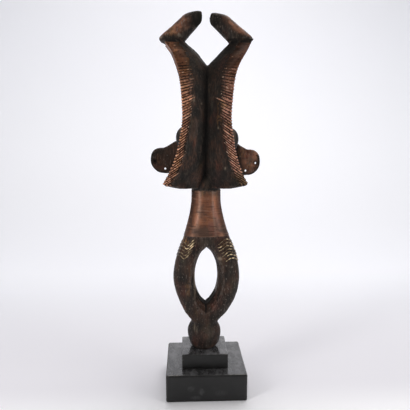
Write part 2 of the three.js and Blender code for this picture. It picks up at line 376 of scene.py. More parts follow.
def spread(tree, value, low, high, start=0.0, end=1.0):
    node = tree.nodes.new("ShaderNodeMapRange")
    node.interpolation_type = "SMOOTHSTEP"
    tree.links.new(value, node.inputs["Value"])
    for name, number in (("From Min", low), ("From Max", high), ("To Min", start), ("To Max", end)):
        node.inputs[name].default_value = number
    return node.outputs[0]


def coat(tree, colour, shade, pattern, low, high, start=0.0, end=1.0):  # lays a shade on by a pattern
    return mixColour(tree, spread(tree, pattern, low, high, start, end), colour, shade)


def coordinates(tree):  # x, y and z on the object
    place = tree.nodes.new("ShaderNodeTexCoord")
    split = tree.nodes.new("ShaderNodeSeparateXYZ")
    tree.links.new(place.outputs["Object"], split.inputs[0])
    return split.outputs["X"], split.outputs["Y"], split.outputs["Z"]


def grain(tree, scale, stretch=(1, 1, 1), detail=3, roughness=0.55):  # scale is in cycles a metre
    place = tree.nodes.new("ShaderNodeTexCoord")
    mapping = tree.nodes.new("ShaderNodeMapping")
    mapping.inputs["Scale"].default_value = stretch
    tree.links.new(place.outputs["Object"], mapping.inputs["Vector"])
    node = tree.nodes.new("ShaderNodeTexNoise")
    node.inputs["Scale"].default_value = scale
    node.inputs["Detail"].default_value = detail
    node.inputs["Roughness"].default_value = roughness
    tree.links.new(mapping.outputs[0], node.inputs["Vector"])
    return node.outputs["Fac"]


def painted(tree, name):
    node = tree.nodes.new("ShaderNodeAttribute")
    node.attribute_name = name
    split = tree.nodes.new("ShaderNodeSeparateColor")
    tree.links.new(node.outputs["Color"], split.inputs[0])
    return split.outputs[0], split.outputs[1], split.outputs[2]


def bump(tree, height, distance, strength=1.0, before=None):
    node = tree.nodes.new("ShaderNodeBump")
    node.inputs["Strength"].default_value = strength
    node.inputs["Distance"].default_value = distance * mm
    tree.links.new(height, node.inputs["Height"])
    if before:
        tree.links.new(before, node.inputs["Normal"])
    return node.outputs[0]


def finish(tree, colour, roughness, normal, metallic=0.0, specular=0.5):
    shader = tree.nodes["Principled BSDF"]
    values = {
        "Base Color": colour,
        "Roughness": roughness,
        "Normal": normal,
        "Metallic": metallic,
        "Specular IOR Level": specular,
    }
    for name, value in values.items():
        feed(tree, shader.inputs[name], value)


# The carved figure

# Lean is how far the middle lies to the right of the axis, and a squareness of 2 gives an ellipse
body = {
    "bottom": 98,
    "top": 356,
    "lean": profile([[92, 0], [145, 3.6], [185, 3.5], [234, 3.9], [263, 3], [321, 2.7], [356, 2]]),
    "halfWidth": profile([
        [98, 20], [109, 20.6], [125, 33.2], [145, 44], [165, 50.7], [185, 52.6], [205, 50.4],
        [225, 45.1], [244, 37.7], [263, 31.7], [283, 26.4], [302, 23.2], [321, 22.6], [356, 20],
    ]),
    "halfDepth": profile([[98, 19.5], [109, 21], [125, 22.5], [185, 24], [244, 25], [302, 22.6], [356, 19]]),
    "squareness": profile([[98, 2], [125, 2.5], [185, 2.8], [244, 2.6], [283, 2.1], [321, 2]]),
}

opening = {
    "bottom": 138,
    "top": 234.5,
    "halfWidth": profile([
        [138, 0], [145, 6.4], [155, 12.6], [165, 16.2], [180, 18.4], [195, 17.8], [205, 16.1],
        [215, 12.9], [225, 7.9], [234.5, 0],
    ]),
    "lean": profile([[138, 1.9], [160, 2.6], [185, 2.9], [234.5, 3.1]]),
    "widest": 180,
    "bevel": 7,
    "bevelFrom": 11,
    "bevelAt": 23,
    "cutTo": 40,
    # how much lower and higher the opening is at the outer edge of its bevel
    "dropBelow": 12,
    "riseAbove": 3.5,
}

foot = {
    "bottom": 67.3,
    "top": 112,
    "radius": profile([
        [67.3, 18.5], [71, 21.8], [77, 24], [84, 25.9], [91, 26.7],
        [98, 25.9], [104, 23.5], [109, 20], [112, 16.9],
    ]),
    "chipFrom": 8,  # right of here the underside is worn away upwards
    "chipSlope": 0.5,
    "blend": (97, 102, 118, 124),  # heights between which the legs run softly into it
}

head = {
    "bottom": 326,
    "top": 549,
    "lean": profile([
        [334, 0], [400, 1.2], [460, 2.3], [490, 3.2], [516, 4.9], [530, 6.2], [541, 5], [549, 4.7],
    ]),
    # distance of the face's rim from the middle
    "reach": profile([
        [326, 40], [328, 49.5], [330.5, 57.5], [334, 62.2], [340, 59.5], [347, 55.4], [373, 45.2],
        [400, 39], [430, 35.6], [460, 37.2], [488, 40.4], [505, 44.7], [527, 55], [541, 63.6], [549, 70.2],
    ]),
    "halfWidth": profile([
        [326, 34], [330.5, 43], [335.5, 47.5], [348, 52], [385, 56], [410, 55], [440, 51], [470, 45],
        [500, 37], [520, 29], [549, 14],
    ]),
    # how deep the face is, and how far its side runs back from the rim
    "hollow": profile([
        [326, 3], [342, 9], [370, 14], [410, 16], [450, 15.5], [490, 12], [520, 7], [549, 1],
    ]),
    "edge": profile([[326, 13], [342, 14], [400, 11.5], [430, 12.5], [470, 14], [500, 16], [549, 20]]),
    # the crevice between the heads: its distance from the middle, sideways and in depth
    "back": profile([
        [326, 9.6], [338, 5], [350, 0], [500, 0], [509, 0.3], [515, 5], [522, 11], [529, 17],
        [535, 23.5], [541, 30.5], [549, 37],
    ]),
    "crevice": profile([
        [326, 18], [350, 20.5], [375, 25], [420, 27], [470, 25], [495, 18], [512, 6], [549, 3],
    ]),
    "lip": (0.6, 1.5),
    "backCurve": 1.5,
    "roundness": 0.6,
    "rim": 2,
    "underStrips": 1.5,  # how far the wood lies below the strips
    "stripOverlap": 2.5,  # how far their ends lap over the bare wood
}

chignon = {
    "rise": {"left": (0, 1.1), "right": (1.8, -1.9)},
    "lean": 2.4,
    "squareness": 2.3,
    # outer edge (reach, height), inner edge (reach, height), half depth
    "sections": [
        [67, 544.5, 37, 540.5, 13],
        [70.6, 550.2, 32.5, 545.5, 14],
        [61.5, 559.2, 28, 550.8, 13.8],
        [48.6, 569.8, 22.3, 557.4, 13.3],
        [40.3, 577.4, 16.6, 563.2, 13],
        [33.6, 583.2, 11.4, 568.8, 12.8],
        [24.5, 586.8, 7.6, 573, 12.4],
        [13.5, 588.9, 6, 578, 11],
        [7.8, 588.4, 5.8, 583.5, 8.5],
    ],
}

blade = {
    "thickness": 7,
    "round": 2.2,
    "root": 14,
    "squareness": 2.7,
    "hole": 1.7,
    "dimple": 2.4,
    "left": {
        "reach": 63.6, "height": 367.8, "radius": 19.5,
        "brow": [[14, 404], [46, 397.5], [53.6, 392.3], [60, 388.8]],
    },
    "right": {
        "reach": 66.5, "height": 364.6, "radius": 20,
        "brow": [[14, 403], [48, 396], [54.5, 391.5], [60.5, 387.6]],
    },
    # from the middle of the round, outwards and up
    "outerHole": (13.2, -1),
    "innerHole": (-2.5, -12.8),
}

wood = {
    "voxel": 1.25,
    "soften": 3,
    "ankleSoften": 30,
    "cup": (9, 24),  # width and height of a tool mark
    "cupDepth": 0.6,
    "cupLevel": 0.45,
    "rough": [(0.4, 22, 45), (0.2, 2.8, 22), (0.09, 1.8, 3)],  # waves, ridges and pits: depth, width, height
    "keep": 0.63,  # share of the triangles kept
}

sleeve = {
    "bottom": 251,
    "top": 322,
    "thickness": 0.9,
    "under": 1.8,  # how far the wood lies back
    "cords": [294, 289.5, 286, 267, 259.5],  # heights of the lines round it
    "cordDepth": 0.3,
    "hemRise": 0.35,
    "clear": 0.1,
    "dents": [(0.3, 16, 24), (0.12, 9, 2.5)],  # depth, width, height
    "shine": [(-0.47, 0.09, 0.35), (0.4, 0.045, 0.4)],  # painted highlights in upright streaks: part across, width, strength
    "shades": {
        "deep": (0.155, 0.057, 0.029),
        "bright": (0.29, 0.115, 0.058),
        "olive": (0.2, 0.115, 0.05),
        "rose": (0.2, 0.085, 0.065),
        "tarnish": (0.075, 0.048, 0.036),
        "hem": (0.36, 0.21, 0.14),
        "stainAndShadow": (0.05, 0.036, 0.027),
        "shine": (0.34, 0.225, 0.175),
        "soot": (0.06, 0.034, 0.024),
        "flank": (0.032, 0.018, 0.014),
        "ridge": (0.3, 0.16, 0.11),
        "line": (0.05, 0.024, 0.017),
        "speck": (0.04, 0.022, 0.017),
        "cord": (0.02, 0.011, 0.008),
    },
}


def ovalRing(centre, halfWidth, halfDepth, squareness, turns):
    points = []
    for i in range(turns):
        turn = 2 * math.pi * i / turns
        x = centre[0] + halfWidth * squared(math.cos(turn), squareness)
        y = centre[1] + halfDepth * squared(math.sin(turn), squareness)
        points.append((x, y, centre[2]))
    return points


def sleeveSkin(height):  # how far the wood lies back under the sleeve
    low = ramp(sleeve["bottom"] + 0.5, sleeve["bottom"] + 2, height)
    return sleeve["under"] * low * ramp(sleeve["top"] - 0.5, sleeve["top"] - 2, height)


def bodyRing(height, skin=0.0, turns=80):
    centre = (axis["x"] + body["lean"](height), axis["y"], height)
    halfWidth = body["halfWidth"](height) - skin
    halfDepth = body["halfDepth"](height) - skin
    return ovalRing(centre, halfWidth, halfDepth, body["squareness"](height), turns)


def openingRing(depth, grow, turns=72):
    share = grow / opening["bevel"]
    bottom = opening["bottom"] - share * opening["dropBelow"]
    top = opening["top"] + share * opening["riseAbove"]
    points = []
    for i in range(turns):
        turn = 2 * math.pi * i / turns
        part = (1 - math.cos(turn)) / 2
        middle = opening["bottom"] + (opening["top"] - opening["bottom"]) * part
        half = opening["halfWidth"](middle) * (1 + grow / opening["halfWidth"](opening["widest"]))
        sign = 1 if turn < math.pi else -1
        x = axis["x"] + opening["lean"](middle) + sign * half
        points.append((x, axis["y"] + depth, bottom + (top - bottom) * part))
    return points


def carveBody():
    heights = evenly(body["bottom"], body["top"], 172)
    limbs = loft("limbs", [bodyRing(height, sleeveSkin(height)) for height in heights])
    bevel, start, end, past = opening["bevel"], opening["bevelFrom"], opening["bevelAt"], opening["cutTo"]
    widest = bevel * (past - start) / (end - start)
    cuts = [(-past, widest), (-end, bevel), (-start, 0), (start, 0), (end, bevel), (past, widest)]
    cut(limbs, loft("openingCut", [openingRing(depth, grow) for depth, grow in cuts]))
    rings = []
    for height in evenly(foot["bottom"], foot["top"], 40):
        radius = foot["radius"](height)
        ring = ovalRing((axis["x"], axis["y"], height), radius, radius, 2, 72)
        chip = [foot["bottom"] + foot["chipSlope"] * (x - axis["x"] - foot["chipFrom"]) for x, _, _ in ring]
        rings.append([(x, y, max(z, up)) for (x, y, z), up in zip(ring, chip)])
    return [limbs, loft("foot", rings)]


def faceSizes(height):  # reach, half width, depth of the hollow, radius of the rim, half width inside it
    half = head["halfWidth"](height)
    rim = min(head["rim"], half / 3)
    return head["reach"](height), half, head["hollow"](height), rim, half - rim


# Half of the face's section as reach and distance from the middle, from its back edge inwards
def faceLine(height, skin, flankLength, flankSteps=8, faceSteps=40):
    reach, half, hollow, rim, flank = faceSizes(height)
    tilt = math.atan(2 * hollow / flank)
    line = []
    lap = head["stripOverlap"]
    for place in evenly(flankLength, 0, flankSteps)[:-1]:
        below = skin * ramp(flankLength - lap / 2, flankLength - lap, place)
        line.append((reach - rim - place, half - below))
    for turn in evenly(0, math.pi / 2 + tilt, 6):
        size = rim - skin
        line.append((reach - rim + size * math.sin(turn), flank + size * math.cos(turn)))
    start = line[-1]
    for part in evenly(1, 0, faceSteps)[1:]:
        across = flank * part
        slope = 2 * hollow * part / flank
        out = reach - hollow * (1 - part * part) - skin * math.hypot(1, slope)
        near = ramp(0.8, 1, part)
        line.append((out, across * (1 - near) + near * min(across, start[1])))
    return line


def backLine(height, steps=26):  # half of the wooden back, from the band of strips to the crevice
    edge = head["reach"](height) - head["edge"](height)
    middle = head["back"](height)
    crevice = head["crevice"](height)
    width = head["halfWidth"](height) - crevice
    line = []
    for step in evenly(1, 0, steps)[1:]:
        part = step ** head["backCurve"]
        line.append((middle + (edge - middle) * part, crevice + width * part ** head["roundness"]))
    line.append((middle - head["lip"][0], crevice - head["lip"][1]))
    return line


def headRing(side, height):
    flankLength = head["edge"](height) - head["rim"]
    face = faceLine(height, head["underStrips"], flankLength)
    half = [*reversed(backLine(height)), *face]
    middle = axis["x"] + head["lean"](height)
    ring = [(middle + side * out, axis["y"] + across, height) for out, across in half]
    ring += [(middle + side * out, axis["y"] - across, height) for out, across in reversed(half[:-1])]
    return ring


def chignonPiece(name):
    side = sides[name]
    steps = range(len(chignon["sections"]))
    curves = [profile([[i, chignon["sections"][i][k]] for i in steps]) for k in range(5)]
    low, high = chignon["rise"][name]
    rows = []
    for at in evenly(0, len(steps) - 1, 56):
        outer, outerUp, inner, innerUp, half = [curve(at) for curve in curves]
        lift = low + (high - low) * at / (len(steps) - 1)
        row = []
        for i in range(44):
            turn = 2 * math.pi * i / 44
            across = (1 + squared(math.cos(turn), chignon["squareness"])) / 2
            reach = inner + (outer - inner) * across
            up = innerUp + (outerUp - innerUp) * across + lift
            deep = half * squared(math.sin(turn), chignon["squareness"])
            row.append((axis["x"] + chignon["lean"] + side * reach, axis["y"] + deep, up))
        rows.append(row)
    return loft(f"{name}Chignon", rows)


def bladePiece(name):
    shape = blade[name]
    side = sides[name]
    middle = axis["x"] + head["lean"](shape["height"])
    outline = []
    brow = shape["brow"]
    for (fromX, fromZ), (toX, toZ) in zip(brow, brow[1:]):
        for part in evenly(0, 1, 6)[:-1]:
            outline.append((fromX + (toX - fromX) * part, fromZ + (toZ - fromZ) * part))
    for angle in evenly(math.pi / 2, -math.pi / 2, 40):
        square = blade["squareness"] if angle > 0 else 2
        out = shape["reach"] + shape["radius"] * squared(math.cos(angle), square)
        outline.append((out, shape["height"] + shape["radius"] * squared(math.sin(angle), square)))
    outline.append((blade["root"], shape["height"] - shape["radius"] - 2))
    deep = blade["thickness"] / 2
    size = blade["round"]
    rows = []
    centre = (shape["reach"], shape["height"])
    for turn in evenly(-90, 90, 8):
        inset = size * (1 - math.cos(math.radians(turn)))
        y = axis["y"] + (deep - size) * np.sign(turn) + size * math.sin(math.radians(turn))
        row = []
        for x, z in outline:
            away = Vector((x - centre[0], z - centre[1]))
            pull = inset / max(away.length, 1e-6) if x > 20 else 0
            row.append((middle + side * (x - away.x * pull), y, z - away.y * pull))
        rows.append(row)
    return loft(f"{name}Blade", rows)


def pinPiece(name, place, depth):  # cuts a hole, or only a dimple if it is drawn forward by a depth
    shape = blade[name]
    out, up = place
    x = axis["x"] + head["lean"](shape["height"]) + sides[name] * (shape["reach"] + out)
    z = shape["height"] + up
    half = blade["thickness"] / 2 + 1
    size = blade["hole"]
    turns = [2 * math.pi * i / 24 for i in range(24)]
    rows = []
    for y in (axis["y"] - half - depth, axis["y"] + half - depth):
        rows.append([(x + size * math.cos(turn), y, z + size * math.sin(turn)) for turn in turns])
    return loft("pin", rows)


def bareness(place):  # one on bare wood, nought under strips or the sleeve
    x, y, z = place[0] - axis["x"], abs(place[1] - axis["y"]), place[2]
    if sleeve["bottom"] < z < sleeve["top"]:
        return 0
    if head["bottom"] < z < head["top"] - 3 and y > blade["thickness"] / 2 + 0.5:
        out = abs(x - head["lean"](z))
        name = "left" if x < 0 else "right"
        return ramp(0, -4, out - head["reach"](z) + head["edge"](z) + strips[name]["pastEdge"](z) + 1)
    return 1


def carve(piece):  # cupped tool marks, long grain and small dents
    mesh = piece.data
    count = len(mesh.vertices)
    places = np.empty(count * 3)
    mesh.vertices.foreach_get("co", places)
    places = places.reshape(-1, 3) / mm
    normals = np.empty(count * 3)
    mesh.vertices.foreach_get("normal", normals)
    normals = normals.reshape(-1, 3)
    moves = np.zeros(count)
    for i in range(count):
        bare = bareness(places[i])
        if bare:
            x, y, z = places[i]
            wide, tall = wood["cup"]
            cell = noise.voronoi(Vector((x / wide, y / wide, z / tall)))[0][0]
            cup = wood["cupDepth"] * (cell - wood["cupLevel"])
            moves[i] = bare * uneven(x, y, z, wood["rough"], cup)
    places += normals * moves[:, None]
    mesh.vertices.foreach_set("co", (places * mm).ravel())
    mesh.update()
    return places, normals


def convexity(mesh, places, normals):  # above zero where the surface bulges
    edges = np.empty(len(mesh.edges) * 2, int)
    mesh.edges.foreach_get("vertices", edges)
    first, second = edges.reshape(-1, 2).T
    away = places[second] - places[first]
    away /= np.maximum(np.linalg.norm(away, axis=1), 1e-9)[:, None]
    total = np.zeros(len(places))
    count = np.zeros(len(places))
    np.add.at(total, first, -(away * normals[first]).sum(1))
    np.add.at(total, second, (away * normals[second]).sum(1))
    np.add.at(count, first, 1)
    np.add.at(count, second, 1)
    value = total / np.maximum(count, 1)
    for _ in range(3):
        total = np.zeros(len(places))
        np.add.at(total, first, value[second])
        np.add.at(total, second, value[first])
        value = 0.5 * value + 0.5 * total / np.maximum(count, 1)
    return value


marks = [
    # x from the figure's axis and height, half width and half height, kind, strength
    # painted glint at the inner end of the left band of strips
    (-17, 456, 1.1, 3.4, "pale", 0.9),
    (19.5, 427, 3.2, 11, "gold", 0.9),
    (21, 448, 5, 12, "gold", 0.5),
    (18, 415.5, 1.3, 1.6, "pale", 0.8),
    (28.3, 357, 1.2, 2.6, "pale", 0.9),
    (-5.6, 450.6, 1.4, 1.4, "pale", 0.45),
    (2.7, 337, 5, 11, "pale", 0.2),
    # painted highlights: two thin light streaks beside the crevice
    (5.5, 470, 1.1, 17, "pale", 0.25),
    (9.5, 452, 1.1, 14, "pale", 0.18),
    (61, 379, 9, 6, "gold", 0.35),
    (-71, 368, 3.5, 10, "gold", 0.3),
    (70.5, 360.5, 5, 5, "gold", 0.35),
    (-26, 169, 5, 13, "gold", 0.3),
    (32, 238, 9, 8, "gold", 0.35),
    (-35, 240, 6, 7, "gold", 0.9),
    (1, 243, 13, 6, "pale", 0.07),
    (-37.7, 552.5, 3, 2.6, "pale", 0.4),
    (-66, 550, 3.5, 2.6, "pale", 0.6),
    (72, 371, 6, 9, "pale", 0.22),
    # painted highlight along the left inner edge of the opening
    (-15.6, 178, 1.7, 26, "pale", 0.6),
    (-16, 104, 1.3, 6, "pale", 0.55),
    (-12.5, 101, 1.1, 5, "pale", 0.45),
    (4, 97, 10, 12, "pale", 0.12),
    (-30.5, 243, 5, 6, "gold", 1),
    (23.2, 217, 3.4, 2.6, "pale", 0.8),
    (32, 215.5, 6, 3.5, "gold", 0.5),
]


# the wood's patina together with its painted shade and painted highlights
patinaAndShade = {
    "slope": (0.84, 0.54),  # of the chignons' upper edges, outwards and down
    "capDark": {"left": 0.85, "right": 0.38},
    "underShade": 0.45,
    # the heads' narrow sides: dark all over, more towards the top and more towards the bottom; this is
    # painted shade, strongest on the right side, with some darker patina
    "headDark": {"left": (0.2, 0.4, 0.16), "right": (0.7, 0.18, -0.14)},
    # painted shade below the sleeve, and again low on the legs and foot
    "legShade": 0.22,
    "bladeDark": {"left": 0.3, "right": 0},
    # painted shade on the blades' lower outer rims, and dark rings round the outer holes
    "rimDark": 0.7,
    # painted highlights along the fork below the chignons and along the blades' upper edges
    "edgeHighlight": 0.5,
    "bulgeWear": 6,
    "shades": {
        "deep": (0.009, 0.0066, 0.0055),
        "dry": (0.03, 0.021, 0.0165),
        "light": (0.062, 0.044, 0.035),
        "soot": (0.004, 0.0033, 0.003),
        "brown": (0.11, 0.05, 0.031),
        "brightBrown": (0.34, 0.152, 0.09),
        "worn": (0.13, 0.1, 0.085),
        "glintSpeck": (0.15, 0.122, 0.108),
        "hollow": (0.003, 0.0025, 0.0022),
        "thread": (0.004, 0.003, 0.0028),
        "untinted": (1, 1, 1),
        "greener": (0.95, 1.02, 0.88),
        "redder": (1.25, 0.88, 0.84),
        "gold": (0.26, 0.13, 0.05),
        "pale": (0.3, 0.24, 0.18),
        "dark": (0.004, 0.0035, 0.0032),
    },
}


def fade(values, start, end):  # nought at start and one at end, straight in between
    return np.clip((values - start) / (end - start), 0, 1)


def clouds(x, y, z, size):  # soft noise at every point, in patches of that size
    wide, deep, tall = size
    return np.array([noise.noise(Vector((a / wide, b / deep, c / tall))) for a, b, c in zip(x, y, z)])


def chignonTones(x, y, z):  # warm and streaked along the slope, with a dark cap and painted shade on the underside
    out, down = patinaAndShade["slope"]
    flank = np.abs(x - chignon["lean"])
    along = flank * out - z * down
    across = flank * down + z * out
    streak = 0.6 * clouds(along, across, y, (26, 3, 3)) + 0.9 * clouds(along, across, y, (9, 6, 6))
    inside = fade(z, 550, 556)
    cap = fade(29 - flank + np.abs(y) * 0.3 + (across - 500) * 0.2, 0, 12) * fade(z, 565, 569)
    # painted shade on the underside
    under = fade(592 - 0.78 * flank + 5 * (x > 0) - z, 0, 11)
    outer = np.where(x > 0, np.maximum(fade(across, 488, 501), 0.25), 1)
    warm = inside * (1 - cap) * (1 - under) * outer * np.clip(0.8 + 1.1 * streak, 0.3, 1)
    dark = np.where(x > 0, patinaAndShade["capDark"]["right"], patinaAndShade["capDark"]["left"]) * cap
    return inside, warm, dark + patinaAndShade["underShade"] * under * inside


def bladeTones(x, y, z, cloud):  # warm fronts, painted light on the right blade's upper outer part, painted shade on the lower outer rims, dark rings round the outer holes, and painted highlights along the upper edges
    inside = fade(np.abs(x), 50, 57) * (z > 335) * (z < 402) * (np.abs(y) < 6)
    # painted light: warmer and lighter on the right blade's upper outer part
    lit = np.where(x > 0, 0.25 + 0.75 * fade(x, 52, 68) * fade(z, 350, 362), 0.1)
    warm = inside * lit * np.clip(0.85 + 1.5 * cloud, 0, 1.2)
    rims = np.zeros(len(x))
    worn = np.zeros(len(x))
    dark = np.zeros(len(x))
    for name, side in sides.items():
        shape = blade[name]
        out = side * x
        here = inside * (out > 0)
        tip = (out > shape["reach"] - 6) * (z < shape["height"] + 12)
        off = np.hypot(out - shape["reach"], z - shape["height"])
        # painted shade on the lower outer rim
        rims += 1.4 * here * tip * fade(off, shape["radius"] - 3.4, shape["radius"] - 1.8)
        holeOut, holeUp = blade["outerHole"]
        off = np.hypot(out - shape["reach"] - holeOut, z - shape["height"] - holeUp)
        rims += 1.2 * here * fade(off, 5, 3.5)
        top = np.interp(out, *np.transpose(shape["brow"]))
        # painted highlight along each blade's upper edge
        worn += inside * (out > 30) * (out < 62) * fade(z, top - 3, top - 1.5)
        dark += here * patinaAndShade["bladeDark"][name]
    return inside, warm, dark + patinaAndShade["rimDark"] * np.clip(rims, 0, 1.4), worn


def headTones(x, z, bare, cloud):  # the narrow sides with their painted shade, painted shade in the crevice and a painted highlight along the fork below the chignons
    inside = (z > head["bottom"]) * (z < head["top"]) * bare
    back = np.array([head["back"](height) for height in z])
    # painted highlight along the edges of the fork below the chignons
    fork = (z > 508) * (z < 546) * fade(np.abs(np.abs(x - chignon["lean"]) - back - 1), 2.56, 0.96)
    onRight = fade(x, 0, 6)
    pairs = zip(patinaAndShade["headDark"]["left"], patinaAndShade["headDark"]["right"])
    whole, upper, lower = [left + (right - left) * onRight for left, right in pairs]
    dark = inside * (whole + upper * fade(z, 470, 510) + lower * fade(z, 400, 360)) * (1 - 0.8 * fork)
    # painted shade in the crevice between the heads
    creviceShade = fade(np.abs(x), 7, 0) * fade(z, 330, 345) * fade(z, 520, 460)
    return inside * np.clip(0.06 + 0.5 * cloud, 0, 0.26), dark + creviceShade, fork


def paintWood(piece, places, normals):  # warmth, wear with painted highlights, and dark parts, mostly painted shade, in one colour, marks in another
    x, y, z = (places - (axis["x"], axis["y"], 0)).T
    cloud = clouds(*places.T, (16, 16, 22))
    onChignon, chignonWarm, chignonDark = chignonTones(x, y, z)
    onBlade, bladeWarm, bladeDark, worn = bladeTones(x, y, z, cloud)
    headWarm, headDark, fork = headTones(x, z, 1 - onBlade, cloud)
    legWarm = fade(z, 300, 240) * np.clip(0.05 + 0.35 * cloud, 0, 0.2)
    legShade = patinaAndShade["legShade"] * (fade(z, 255, 230) + fade(z, 140, 120))
    # painted shade on the floor of the opening between the legs
    openingFloorShade = fade(np.abs(y), 14, 11) * (np.abs(x - 2) < 15) * (normals[:, 2] > 0.2) * (z > 126) * (z < 170)
    bulge = patinaAndShade["bulgeWear"] * convexity(piece.data, places, normals)
    # wear on bulges, with the painted highlights of the fork and the blades' upper edges
    wear = np.clip(0.5 + bulge + patinaAndShade["edgeHighlight"] * fork, 0, 1) + patinaAndShade["edgeHighlight"] * worn
    colours = np.ones((len(places), 4))
    colours[:, 0] = np.clip(chignonWarm + bladeWarm + legWarm + headWarm, 0, 1)
    colours[:, 1] = np.clip(wear, 0, 1)
    colours[:, 2] = np.clip(chignonDark + bladeDark + headDark + legShade + openingFloorShade, 0, 1)
    paint(piece, "tone", colours)
    spots = np.zeros((len(places), 4))
    spots[:, 2] = np.clip(onChignon + onBlade + 0.6 * fade(z, 250, 230), 0, 1)
    for markX, markUp, wide, tall, kind, strength in marks:
        off = np.hypot((x - markX) / wide, (z - markUp) / tall)
        channel = 0 if kind == "pale" else 1
        spots[:, channel] = np.maximum(spots[:, channel], fade(off, 1.35, 0.35) * strength * (y < 0))
    paint(piece, "marks", spots)


def woodMaterial():
    look, tree = newMaterial("darkWood")
    shades = patinaAndShade["shades"]
    warm, wear, dark = painted(tree, "tone")
    pale, gold, plain = painted(tree, "marks")
    upright = grain(tree, 650, (1, 1, 0.09), 4)
    soft = grain(tree, 110, (1, 1, 1), 2, 0.5)
    fibres = mixColour(tree, plain, upright, soft)
    patches = grain(tree, 45, (1, 1, 0.4), 3)
    mottle = grain(tree, 170, (1, 1, 0.33), 5, 0.7)
    crust = grain(tree, 300, (1, 1, 0.55), 4, 0.65)
    specks = grain(tree, 460, (1, 1, 0.45), 2, 0.5)
    base = coat(tree, shades["deep"], shades["dry"], patches, 0.35, 0.68)
    base = coat(tree, base, shades["light"], mottle, 0.5, 0.64, 0, 0.8)
    base = coat(tree, base, shades["soot"], mottle, 0.46, 0.32, 0, 0.8)
    brown = coat(tree, shades["brown"], shades["brightBrown"], fibres, 0.35, 0.65)
    broken = mixColour(tree, plain, *[spread(tree, crust, 0.3, 0.62, least, 1) for least in (0.3, 0.75)])
    base = mixColour(tree, times(tree, warm, broken), base, brown)
    # wear, with the painted highlights of the fork and the blades' upper edges
    worn = times(tree, spread(tree, wear, 0.54, 0.9), spread(tree, crust, 0.4, 0.62))
    base = mixColour(tree, times(tree, worn, 0.75), base, shades["worn"])
    # painted glints: light specks standing for light caught on tool marks
    speckGlints = times(tree, spread(tree, specks, 0.6, 0.68, 0, 0.8), spread(tree, plain, 0, 0.6, 0.3, 1))
    base = mixColour(tree, speckGlints, base, shades["glintSpeck"])
    base = coat(tree, base, shades["hollow"], wear, 0.47, 0.2, 0, 0.8)
    thread = times(tree, spread(tree, upright, 0.36, 0.6, 0.45, 0), mixMaths(tree, "SUBTRACT", 1, plain))
    base = mixColour(tree, thread, base, shades["thread"])
    goldAmount = times(tree, gold, spread(tree, crust, 0.42, 0.58))
    hue = grain(tree, 38, (1, 1, 0.6), 2, 0.5)
    tint = coat(tree, shades["untinted"], shades["greener"], hue, 0.42, 0.34)
    tint = coat(tree, tint, shades["redder"], hue, 0.55, 0.64)
    base = mixColour(tree, 1.0, base, tint, "MULTIPLY")
    base = mixColour(tree, goldAmount, base, shades["gold"])
    base = mixColour(tree, times(tree, pale, spread(tree, crust, 0.3, 0.5)), base, shades["pale"])
    # the dark channel: mostly painted shade, with the chignons' dark caps and darker patina
    base = mixColour(tree, times(tree, dark, 0.85), base, shades["dark"])
    rough = plus(tree, spread(tree, crust, 0.3, 0.7, 0.34, 0.56), times(tree, dark, 0.4))
    normal = bump(tree, fibres, 0.3, 0.6)
    normal = bump(tree, mottle, 0.8, 0.7, normal)
    normal = bump(tree, crust, 0.5, 0.8, normal)
    finish(tree, base, rough, normal, specular=0.18)
    return look


def buildFigure():
    pieces = carveBody()
    heights = evenly(head["bottom"], head["top"], 112)
    for name, side in sides.items():
        pieces.append(loft(f"{name}Head", [headRing(side, height) for height in heights]))
        pieces.append(chignonPiece(name))
        pieces.append(bladePiece(name))
    figure = joined("carvedFigure", pieces)
    modify(figure, "REMESH", mode="VOXEL", voxel_size=wood["voxel"] * mm)
    modify(figure, "SMOOTH", factor=0.5, iterations=wood["soften"])
    low, full, fading, high = [height * mm for height in foot["blend"]]
    ankle = figure.vertex_groups.new(name="ankle")
    for vertex in figure.data.vertices:
        z = vertex.co.z
        if low < z < high:
            ankle.add([vertex.index], ramp(low, full, z) * ramp(high, fading, z), "REPLACE")
    modify(figure, "SMOOTH", factor=0.5, iterations=wood["ankleSoften"], vertex_group="ankle")
    for name in sides:
        cut(figure, pinPiece(name, blade["innerHole"], 0), "FAST")
        shallow = blade["thickness"] + 1 - blade["dimple"] if name == "left" else 0
        cut(figure, pinPiece(name, blade["outerHole"], shallow), "FAST")
    places, normals = carve(figure)
    paintWood(figure, places, normals)
    modify(figure, "DECIMATE", ratio=wood["keep"])
    dress(figure, woodMaterial())
    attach(figure, "root")
    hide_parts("figure")
    print("figure carved:", triangles(figure), "triangles")


# Strips on the faces

